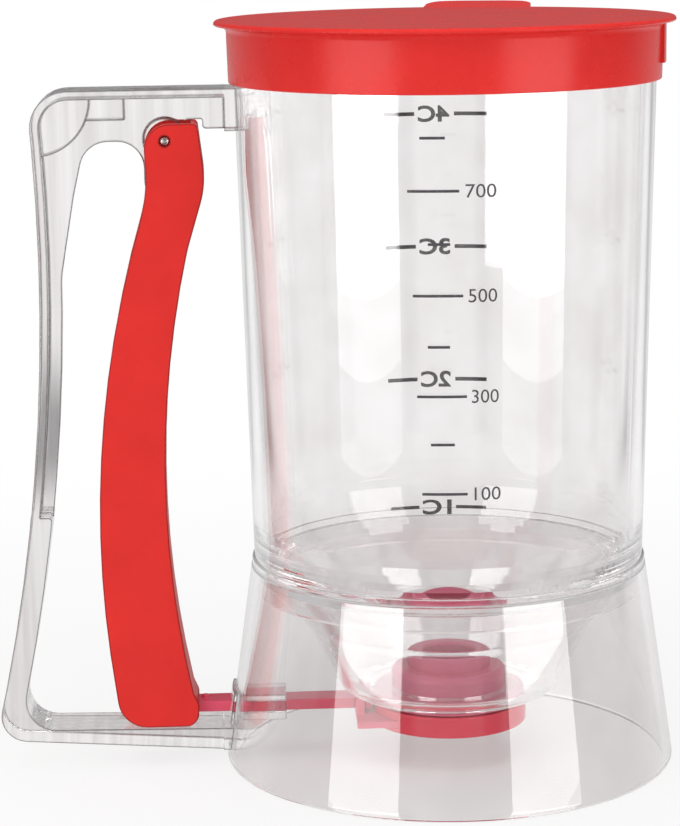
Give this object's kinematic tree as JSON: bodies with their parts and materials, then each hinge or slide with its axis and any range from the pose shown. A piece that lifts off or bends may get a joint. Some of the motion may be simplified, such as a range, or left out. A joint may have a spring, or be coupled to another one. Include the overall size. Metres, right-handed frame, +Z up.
{
  "type": "pancake batter dispenser",
  "caption": "Clear batter jug with a funnel floor, push-on lid and D-handle; squeezing the trigger slides a gate from under the outlet.",
  "frame": {"origin": "centre of the base rim on the plane the dispenser stands on", "axes": "+Z up along the jug's axis, handle towards -X, Y across the handle"},
  "size_m": [0.1823, 0.1283, 0.2013],
  "materials": {
    "clear_jug_body": "clear, polished moulding",
    "clear_base_skirt": "clear, polished moulding",
    "clear_handle_frame": "clear, polished moulding",
    "clear_rod_guide": "clear, polished moulding",
    "red_valve_seat": "glossy moulded red",
    "red_valve_cap": "glossy moulded red",
    "red_gate_plate": "glossy moulded red",
    "red_draw_rod": "glossy moulded red",
    "red_trigger": "glossy moulded red",
    "red_lid": "glossy moulded red",
    "steel_pivot_pin": "bright drawn",
    "steel_pivot_clip": "bright drawn",
    "steel_return_spring": "bright drawn",
    "silicone": "translucent silicone",
    "white_spacer": "plain acetal"
  },
  "bodies": {
    "jug": {"jug_body": "clear_jug_body", "base_skirt": "clear_base_skirt", "handle_frame": "clear_handle_frame", "rod_guide": "clear_rod_guide", "valve_seat": "red_valve_seat", "gate_seal": "silicone", "valve_cap": "red_valve_cap", "pivot_spacer": "white_spacer", "return_spring": "steel_return_spring"},
    "trigger": {"trigger": "red_trigger", "pivot_pin": "steel_pivot_pin", "pivot_clip": "steel_pivot_clip"},
    "gate": {"gate_plate": "red_gate_plate", "draw_rod": "red_draw_rod"},
    "lid": {"lid": "red_lid"}
  },
  "joints": [
    {"name": "trigger_squeeze", "type": "hinge", "parent": "jug", "child": "trigger", "pos_m": [-0.0737, 0, 0.1694], "axis": [0, 1, 0], "range_deg": [0, 6.47], "stiffness_Nm_per_rad": 0.5, "springref_deg": -17.19, "deforming": ["return_spring"]},
    {"name": "gate_slide", "type": "slide", "parent": "jug", "child": "gate", "axis": [-1, 0, 0], "range_m": [0, 0.0174]},
    {"name": "lid_lift", "type": "slide", "parent": "jug", "child": "lid", "axis": [0, 0, 1], "range_m": [0, 0.03]}
  ],
  "couplings": [
    {"joint": "gate_slide", "follows": "trigger_squeeze", "m_per_rad": 0.15385}
  ]
}
